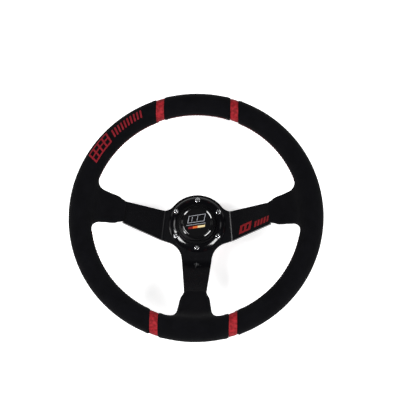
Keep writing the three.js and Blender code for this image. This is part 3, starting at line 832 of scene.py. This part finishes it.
def make_bands():
    """Four red leather bands between planes across X."""
    columns, sides = 17, 64
    for side_x, word_x in ((-1, "left"), (1, "right")):
        for side_y, word_y in ((1, "top"), (-1, "bottom")):
            points = [(side_x * x, side_y * y, z) for x, y, z in band_points(columns, sides)]
            mesh = mesh_from("band", points, tube_faces(columns, sides), 50)
            place = f"band_{word_y}_{word_x}"
            piece = add_piece(f"red_{place}", mesh, BAND, place)


# ------------ horn and bolts

RING_HEIGHT = 6.6
RING_CREST = 28.9  # the trim ring's face falls away outwards from here
RING_CURVE = 17.1


def ring_face(r):
    """Height of the trim ring's curved face above the plate."""
    fall = max(r - RING_CREST, 0) / RING_CURVE
    return RING_HEIGHT - RING_CURVE * (1 - math.sqrt(1 - fall * fall))


def make_horn_ring():
    """Trim ring under the bolts, with a pocket and a hole for each."""
    z = PLATE_FRONT
    inside, outside, edge = 26.5, 41, 40.7
    face = [[r, z + ring_face(r), 0] for r in np.linspace(edge, RING_CREST, 24)]
    rim = [[inside, z + 0.3], [outside, z + 0.3], [outside, z + ring_face(edge) - 0.2, 0.1]]
    mesh = lathe_mesh("ring", [*rim, *face, [inside, z + RING_HEIGHT]], closed=True, segments=160)
    cutters = []
    for place in BOLT_PLACES:
        cutters.append(prism_mesh("pocket", circle(BOLT_POCKET_RADIUS, 48, place), z + 3.6, z + 9))
        cutters.append(prism_mesh("hole", circle(BOLT_HOLE_RADIUS, 32, place), z - 1, z + 6))
    piece = add_piece("horn_trim_ring", carve(mesh, cutters), RING_BLACK, "horn_ring")
    soften(piece, 0.2, 2, 50)


def make_bolts():
    """Six socket-head bolts, each stopped at its own turn."""
    z = PLATE_FRONT
    body = lathe_mesh("bolt", [
        [0, z - 11.6], [2.1, z - 11.6, 0], [2.5, z - 11.1, 0], [2.5, z + 3.8, 0], [3.7, z + 3.8, 0.2],
        [3.7, z + 6.2, 1.2], [2.9, z + 7.6, 0.9], [2.2, z + 7.6, 0.1], [0, z + 7.6],
    ], segments=48)
    socket = prism_mesh("socket", circle(1.7, 6), z + 5.4, z + 9)
    bolt = carve(body, [socket], sharp=30)
    for k, place in enumerate(BOLT_PLACES):
        turn = Matrix.Rotation(0.7 * k, 4, "Z")
        mesh = moved(bolt, Matrix.Translation(Vector((*place, 0)) * MM) @ turn)
        add_piece(f"hub_bolt_{k + 1}", mesh, BOLT_STEEL, f"wheel_bolt_{k + 1}")


DISC_TOP = PLATE_FRONT + 14.4


def disc_print(name, outline, material, inner=None):
    """Thin printed shape on the horn disc. An inner outline leaves a hole in it."""
    mesh = prism_mesh(name, outline, DISC_TOP - 0.06, DISC_TOP + 0.04)
    if inner:
        mesh = carve(mesh, [prism_mesh("window", inner, DISC_TOP - 1, DISC_TOP + 1)])
    add_piece(name, mesh, material, "horn_emblem", body="horn_button")


def slanted_bar(x0, x1, y0, y1):
    """Outline of a bar whose ends lean to the right as they rise, all turned with the emblem."""
    lean, tilt = 0.35, math.radians(9)
    cos, sin = math.cos(tilt), math.sin(tilt)
    corners = [(x0 + lean * y0, y0), (x1 + lean * y0, y0), (x1 + lean * y1, y1), (x0 + lean * y1, y1)]
    return [(x * cos - y * sin, x * sin + y * cos) for x, y in corners]


def make_emblem():
    """Plain emblem: a slanted frame with two strokes, a thin line, and a bar in three colours."""
    outer, inner = slanted_bar(-14, 10.5, 0.6, 11), slanted_bar(-13.1, 9.7, 1.3, 10.3)
    disc_print("emblem_frame", outer, PRINT_WHITE, inner)
    disc_print("emblem_stroke_1", slanted_bar(-8.6, -7.9, 2.6, 9), PRINT_WHITE)
    disc_print("emblem_stroke_2", slanted_bar(-0.9, -0.2, 2.6, 9), PRINT_WHITE)
    disc_print("emblem_line", slanted_bar(-14.5, 13, -2.7, -2.1), PRINT_WHITE)
    ends = [-11, -4.5, 2.5, 13]
    inks = [("red", PRINT_RED), ("orange", PRINT_ORANGE), ("yellow", PRINT_YELLOW)]
    for (word, ink), x0, x1 in zip(inks, ends, ends[1:]):
        disc_print(f"emblem_bar_{word}", slanted_bar(x0, x1, -8, -5), ink)


def make_horn():
    """The horn's fixed surround, and the cap, ridge and printed disc that are pressed together."""
    z = PLATE_FRONT
    housing = lathe_mesh("housing", [
        [3, z - 9], [26.1, z - 9], [26.1, z + 6.7], [29.5, z + 6.7, 0.1], [29.5, z + 7.6, 0.25],
        [26.4, z + 7.8, 0.2], [26.2, z + 13.5, 0.35], [23.7, z + 13.9, 0.15], [23.7, z + 11.6],
        [24.9, z + 11.6], [24.9, z - 7], [3, z - 7],
    ], closed=True)
    add_piece("horn_surround", housing, HOUSING, "horn_housing")

    cap = lathe_mesh("cap", [
        [0, z + 13.6], [20.7, z + 13.6], [20.7, z + 13], [23.3, z + 13], [23.3, z + 11.2, 0.1],
        [24.4, z + 11.2], [24.4, z + 9.2], [20.6, z + 9.2], [20.6, z + 11.6], [0, z + 11.6],
    ])
    add_piece("horn_push_cap", cap, PLASTIC, "horn_cap", "horn_button")

    bezel = lathe_mesh("bezel", [
        [20.7, z + 13.3], [23.3, z + 13.3], [23.3, z + 14.5, 0.1], [22.1, z + 14.98, 0.08],
        [20.7, z + 14.42, 0.05],
    ], closed=True, segments=160, radius=0.15)
    add_piece("horn_gloss_ring", bezel, BEZEL, "horn_bezel", "horn_button")

    disc = lathe_mesh("disc", [
        [0, z + 13.9], [20.6, z + 13.9], [20.6, z + 14.2, 0.15], [20, z + 14.4, 0.3], [0, z + 14.4],
    ])
    add_piece("horn_disc", disc, DISC, "horn_emblem", "horn_button")
    make_emblem()


# ------------ stitching, embroidery and print

THREAD_RADIUS = 0.42
THREAD_RISE = 0.25  # of a thread's middle above the suede
THREAD_SINK = 0.35  # of its ends into the suede
STITCH_PITCH = 4.4
STITCH_REACH = 2.3  # from the seam to each end of a stitch
ROOT_STITCH_REACH = 1.9


def thread_mesh(starts, ends):
    """Threads that each bridge from one point of the grip to another, with their ends sunk in."""
    steps, sides = 6, 6
    starts, ends = settle(np.array(starts), grip_distance), settle(np.array(ends), grip_distance)
    normals = gradient_of(grip_distance, (starts + ends) / 2, 0.05)
    normals /= np.linalg.norm(normals, axis=1)[:, None]
    points, faces = [], []
    for start, end, normal in zip(starts, ends, normals):
        side = np.cross(end - start, normal)
        side /= np.linalg.norm(side)
        faces += tube_faces(steps + 1, sides, len(points))
        for share in np.linspace(0, 1, steps + 1):
            off = abs(2 * share - 1)
            rise = THREAD_RISE * (1 - off**4) - THREAD_SINK * off**3
            middle = start + (end - start) * share + normal * rise
            points += [middle + a * side + b * normal for a, b in circle(THREAD_RADIUS, sides)]
    return mesh_from("stitches", points, faces, 60)


def seam_point(theta, across):
    """Point of the grip's inner side, at a distance above or below the seam."""
    return rim_point(theta, math.pi + SEAM_TURN - across / GRIP_RADIUS, GRIP_RADIUS)


def make_stitching():
    """Red cross stitches along the inner seam of each panel and down the back of each grip root."""
    # Angles round the wheel, clear of the bands and of the roots
    near, far = angle_at(BAND_NEAR_X) + 0.02, angle_at(BAND_FAR_X) - 0.02
    spans = {
        "top": [(near, math.pi - near)],
        "right": [(0.34, far), (-far, -0.18)],
        "left": [(math.pi - far, math.pi - 0.34), (math.pi + 0.18, math.pi + far)],
        "bottom": [(-math.pi + near, -math.pi / 2 - 0.26), (-math.pi / 2 + 0.26, -near)],
    }
    step = STITCH_PITCH / (RIM_RADIUS - GRIP_RADIUS)
    for word, ranges in spans.items():
        starts, ends = [], []
        for low, high in ranges:
            for k in range(int((high - low) / step)):
                theta = low + k * step
                starts += [seam_point(theta, side * STITCH_REACH) for side in (-1, 1)]
                ends += [seam_point(theta + step * 0.8, side * STITCH_REACH) for side in (1, -1)]
        if word in SPOKES:
            spoke = SPOKES[word]
            for out in np.arange(107, 131, STITCH_PITCH * math.cos(spoke.slope)):
                length, middle = spoke.length_at(out), spoke.root_shift
                thick = float(np.interp(out, ROOT_OUT, ROOT_THICKNESS))
                for reach in (-ROOT_STITCH_REACH, ROOT_STITCH_REACH):
                    starts.append(spoke.point(length, middle - reach, -thick))
                    ends.append(spoke.point(length + STITCH_PITCH * 0.8, middle + reach, -thick))
        # The seam thread's darker red is painted shade
        add_piece(f"stitching_{word}", thread_mesh(starts, ends), SEAM_RED_PAINTED_SHADE, f"suede_{word}")


EMBROIDERY_START = math.radians(154.5)  # round the wheel
EMBROIDERY_EDGE = math.radians(116)  # round the grip tube
SATIN_LEAN = 0.3
SATIN_THREAD = 0.72  # from one thread to the next


def satin_point(u, v, lift):
    """Point over the upper left of the rim: u runs clockwise along it, v towards its outer side."""
    theta = EMBROIDERY_START - u / 162
    return rim_point(theta, EMBROIDERY_EDGE - v / GRIP_RADIUS, GRIP_RADIUS + lift)


def satin_bar(points, faces, u0, u1, v0, v1):
    """Adds one slanted bar of satin stitch, whose threads lie along the bar."""
    columns = max(int((u1 - u0) / 0.18), 12)
    rows = max(int(v1 - v0), 4)
    first = len(points)
    for j in range(rows + 1):
        for k in range(columns + 1):
            u, v = (u1 - u0) * k / columns, v0 + (v1 - v0) * j / rows
            swell = math.sqrt(min(min(k, columns - k) / 3, 1)) * min(j, rows - j, 1)
            lift = -0.3 + 0.75 * swell + 0.09 * math.cos(2 * math.pi * u / SATIN_THREAD)
            points.append(satin_point(u0 + u + SATIN_LEAN * v, v, lift))
    for j in range(rows):
        for k in range(columns):
            a = first + j * (columns + 1) + k
            faces.append([a, a + 1, a + columns + 2, a + columns + 1])


def make_embroidery():
    """Plain embroidered device: a barred slanted frame followed by slanted bars."""
    points, faces = [], []
    for k in range(5):
        satin_bar(points, faces, 1 + 9.2 * k, 4 + 9.2 * k, 0, 17.5)
    for v in (0, 7.4, 14.9):
        satin_bar(points, faces, 1, 40.8, v, v + 2.6)
    for k in range(10):
        satin_bar(points, faces, 47.5 + 5.3 * k, 50.4 + 5.3 * k, 1.5, 13.5)
    mesh = mesh_from("satin", points, faces, 180)
    add_piece("rim_embroidery", mesh, EMBROIDERY_RED, "suede_left")


def make_spoke_print():
    """Plain printed device on the right spoke, parallel to its lower edge."""
    spoke = SPOKES["right"]
    start, foot, lean = 60, -20.8, 0.25
    # Nearest and farthest distance out, and lowest and highest place, of each bar
    bars = [(60 + 6.4 * k, 63.6 + 6.4 * k, 0, 11.5) for k in range(3)]
    bars += [(60, 76.4, 0, 2.6), (60, 76.4, 8.9, 11.5)]
    bars += [(81.5 + 4.3 * k, 84.4 + 4.3 * k, 0.5, 8.2) for k in range(5)]
    points, faces = [], []
    for k, (out0, out1, rise0, rise1) in enumerate(bars):
        faces += tube_faces(2, 4, len(points))
        # Each bar is a little thicker than the one before, so that no two tops lie in one plane
        for up in (-0.05, 0.04 + 0.004 * k):
            for out, rise in ((out0, rise0), (out1, rise0), (out1, rise1), (out0, rise1)):
                place = out + lean * rise
                across = foot + (place - start) * EDGE_TAPER + rise
                points.append(spoke.point(spoke.length_at(place), across, PLATE_THICKNESS / 2 + up))
    add_piece("spoke_print", mesh_from("print", points, faces), PRINT_RED, "spoke_frame")


# ------------ quick-release coupler

SLEEVE_RADIUS = 15.9
CUP_BOTTOM = 33.5
SPLINE_TEETH = 12
SPLINE_ROOT, SPLINE_TIP = 11.3, 12.3
BALL_HEIGHT = 19
BALL_CENTRE = 13.6
BALL_RADIUS = 3.0
BALL_ANGLES = [k * math.pi / 3 for k in range(6)]
COLLAR_SEAT = 24
RAMP_RATIO = 0.5  # ball travel outwards for each millimetre of collar travel
COLUMN_BORE = 9.55


def spline_outline(grow=0.0):
    """Outline of the spline teeth, widened by a clearance for the socket."""
    pitch = 2 * math.pi / SPLINE_TEETH
    corners = [(-0.3, SPLINE_ROOT, -1), (-0.2, SPLINE_TIP, -1), (0.2, SPLINE_TIP, 1), (0.3, SPLINE_ROOT, 1)]
    outline = []
    for k in range(SPLINE_TEETH):
        for share, radius, side in corners:
            outline.append(polar(radius + grow, (k + share) * pitch + side * grow / SPLINE_TIP))
    return outline


def ball_hole(angle):
    """Cylinder across the sleeve at the height of a lock ball."""
    mesh = prism_mesh("ball_hole", circle(3.35, 32), 0, 12)
    turn = Matrix.Rotation(angle, 4, "Z") @ Matrix.Rotation(math.pi / 2, 4, "Y")
    return moved(mesh, Matrix.Translation(Vector((*polar(8, angle), BALL_HEIGHT)) * MM) @ turn)


def make_coupler_hub():
    """The wheel's half: bolt flange, cup for the horn, and sleeve with its splines and ball holes."""
    top = PLATE_BACK - 0.3
    body = lathe_mesh("coupler", [
        [0, 8.5], [15.3, 8.5], [15.3, 9], [14.8, 9], [14.8, 10.5], [SLEEVE_RADIUS, 10.5],
        [SLEEVE_RADIUS, CUP_BOTTOM, 0.2], [29, CUP_BOTTOM, 0.6], [31, 35.5, 0.6], [31, 41.7, 0.8],
        [39.2, 41.7, 0.2], [40, 42.5, 0.3], [40, top, 0.3], [27.6, top, 0.2], [27.6, 36.8, 0.6], [0, 36.8],
    ])
    cutters = [prism_mesh("splines", spline_outline(0.3), 7.5, 32.8)]
    cutters += [prism_mesh("wires", circle(5, 48), 32, 38)]
    cutters += [ball_hole(angle) for angle in BALL_ANGLES]
    cutters += [prism_mesh("bolt", circle(BOLT_HOLE_RADIUS, 32, place), 40, 51) for place in BOLT_PLACES]
    made = carve(body, cutters, sharp=30)
    piece = add_piece("coupler_wheel_half", made, COUPLER_BLACK, "coupler_hub")
    soften(piece, 0.25, 2, 45)


def make_column_hub():
    """The column's half: shoulder, splined nose with its ball groove, and socket for the column."""
    profile = [[0, 0], [23, 0, 0.1], [24, 1, 0.3], [24, 7, 0.3], [23, 8, 0.2], [0, 8]]
    nose = prism_mesh("nose", spline_outline(), 7, 32)
    body = carve(lathe_mesh("shoulder", profile), [nose], "UNION")
    groove = [[r, z, 0] for r, z in circle(BALL_RADIUS + 0.2, 32, (BALL_CENTRE, BALL_HEIGHT))]
    socket = prism_mesh("socket", circle(COLUMN_BORE, 96), -1, 13)
    cutters = [lathe_mesh("groove", groove, closed=True), socket]
    piece = add_piece("column_half", carve(body, cutters, sharp=30), HUB_STEEL, "column_hub")
    soften(piece, 0.2, 2, 45)


def make_collar():
    """Sliding collar, fluted outside, whose inner ramp holds the balls in."""
    ramp_at_ball = BALL_CENTRE + (BALL_RADIUS + 0.1) / math.cos(math.atan(RAMP_RATIO))
    guide, skirt = SLEEVE_RADIUS + 0.15, 19.6
    ramp_top = BALL_HEIGHT + (ramp_at_ball - guide) / RAMP_RATIO
    ramp_bottom = BALL_HEIGHT - (skirt - ramp_at_ball) / RAMP_RATIO
    body = lathe_mesh("collar", [
        [skirt, 10.7], [25.5, 10.7, 0.2], [26.5, 11.7, 0.4], [26.5, 24, 0.8], [29.5, 26, 0.5],
        [29.5, 28.2, 0.3], [28.7, 29, 0.3], [20.8, 29, 0.3], [20.8, COLLAR_SEAT, 0.2],
        [guide, COLLAR_SEAT, 0.1], [guide, ramp_top, 0], [skirt, ramp_bottom, 0],
    ], closed=True, segments=160)
    flutes = [polar(28.3, math.pi / 10 + k * math.pi / 5) for k in range(10)]
    made = carve(body, [prism_mesh("flute", circle(2.8, 48, place), 9.7, 23) for place in flutes], sharp=30)
    piece = add_piece("collar_fluted", made, COLLAR_RED, "release_collar", "release_collar")
    soften(piece, 0.25, 2, 45)


def make_clip():
    """Open ring that stops the collar at the end of the sleeve."""
    washer = lathe_mesh("clip", [[15.1, 9.2], [21, 9.2], [21, 10.3], [15.1, 10.3]], closed=True, radius=0.15)
    gap = prism_mesh("gap", [(0, -3), (30, -3), (30, 3), (0, 3)], 8, 12)
    piece = add_piece("clip_ring", carve(washer, [gap]), SPRING_STEEL, "collar_clip")
    soften(piece, 0.1, 2, 45)


def spring_mesh(radius, wire, bottom, top, turns):
    """Coil spring whose first and last half turns lie flat on its seats."""
    rise = top - bottom - 2 * wire
    sides, steps = 10, int(turns * 48)
    points = []
    for j in range(steps + 1):
        turn = turns * j / steps
        height = bottom + wire + rise * min(max((turn - 0.5) / (turns - 1), 0), 1)
        for out, up in circle(wire, sides, (radius, height)):
            points.append((*polar(out, 2 * math.pi * turn), up))
    return mesh_from("coil", points, tube_faces(steps + 1, sides), 50)


def make_springs():
    """The collar's spring hangs from the cup above it, and the horn's stands on the housing's floor."""
    coil = spring_mesh(18.3, 0.6, COLLAR_SEAT + 0.1, CUP_BOTTOM - 0.05, 4.2)
    piece = add_piece("collar_coil", coil, SPRING_STEEL, "collar_spring")
    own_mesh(piece)

    floor, plate = PLATE_FRONT - 7, PLATE_FRONT + 10.5
    coil = spring_mesh(10, 0.7, floor + 0.05, plate - 0.1, 5.5)
    piece = add_piece("horn_coil", coil, SPRING_STEEL, "horn_spring")
    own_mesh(piece)


def make_balls():
    """Six lock balls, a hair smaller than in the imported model."""
    radius = (BALL_RADIUS - 0.02) * MM
    for k, angle in enumerate(BALL_ANGLES, 1):
        bm = bmesh.new()
        place = Matrix.Translation(Vector((*polar(BALL_CENTRE, angle), BALL_HEIGHT)) * MM)
        bmesh.ops.create_uvsphere(bm, u_segments=32, v_segments=20, radius=radius, matrix=place)
        mesh = bpy.data.meshes.new("ball")
        bm.to_mesh(mesh)
        bm.free()
        finish_shading(mesh)
        add_piece(f"bearing_ball_{k}", mesh, BALL_STEEL, f"lock_ball_{k}", f"ball_{k}")


# ------------ plain inner nodes keep their shape

INNER = {
    "rim_foam": FOAM,
    "rim_hoop": HOOP_STEEL,
    "horn_contact_plate": BRASS,
    "horn_contact_ring": BRASS,
    "horn_contact_carrier": PLASTIC,
    "horn_terminal_live": BRASS,
    "horn_terminal_earth": BRASS,
}


def dress_inner():
    """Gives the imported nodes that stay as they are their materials."""
    for name, material in INNER.items():
        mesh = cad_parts[name].data
        mesh.materials.clear()
        mesh.materials.append(material)


make_camera()
make_studio()
make_spoke_frame()
make_grip()
make_bands()
make_horn_ring()
make_bolts()
make_horn()
make_stitching()
make_embroidery()
make_spoke_print()
make_coupler_hub()
make_column_hub()
make_collar()
make_clip()
make_springs()
make_balls()
dress_inner()
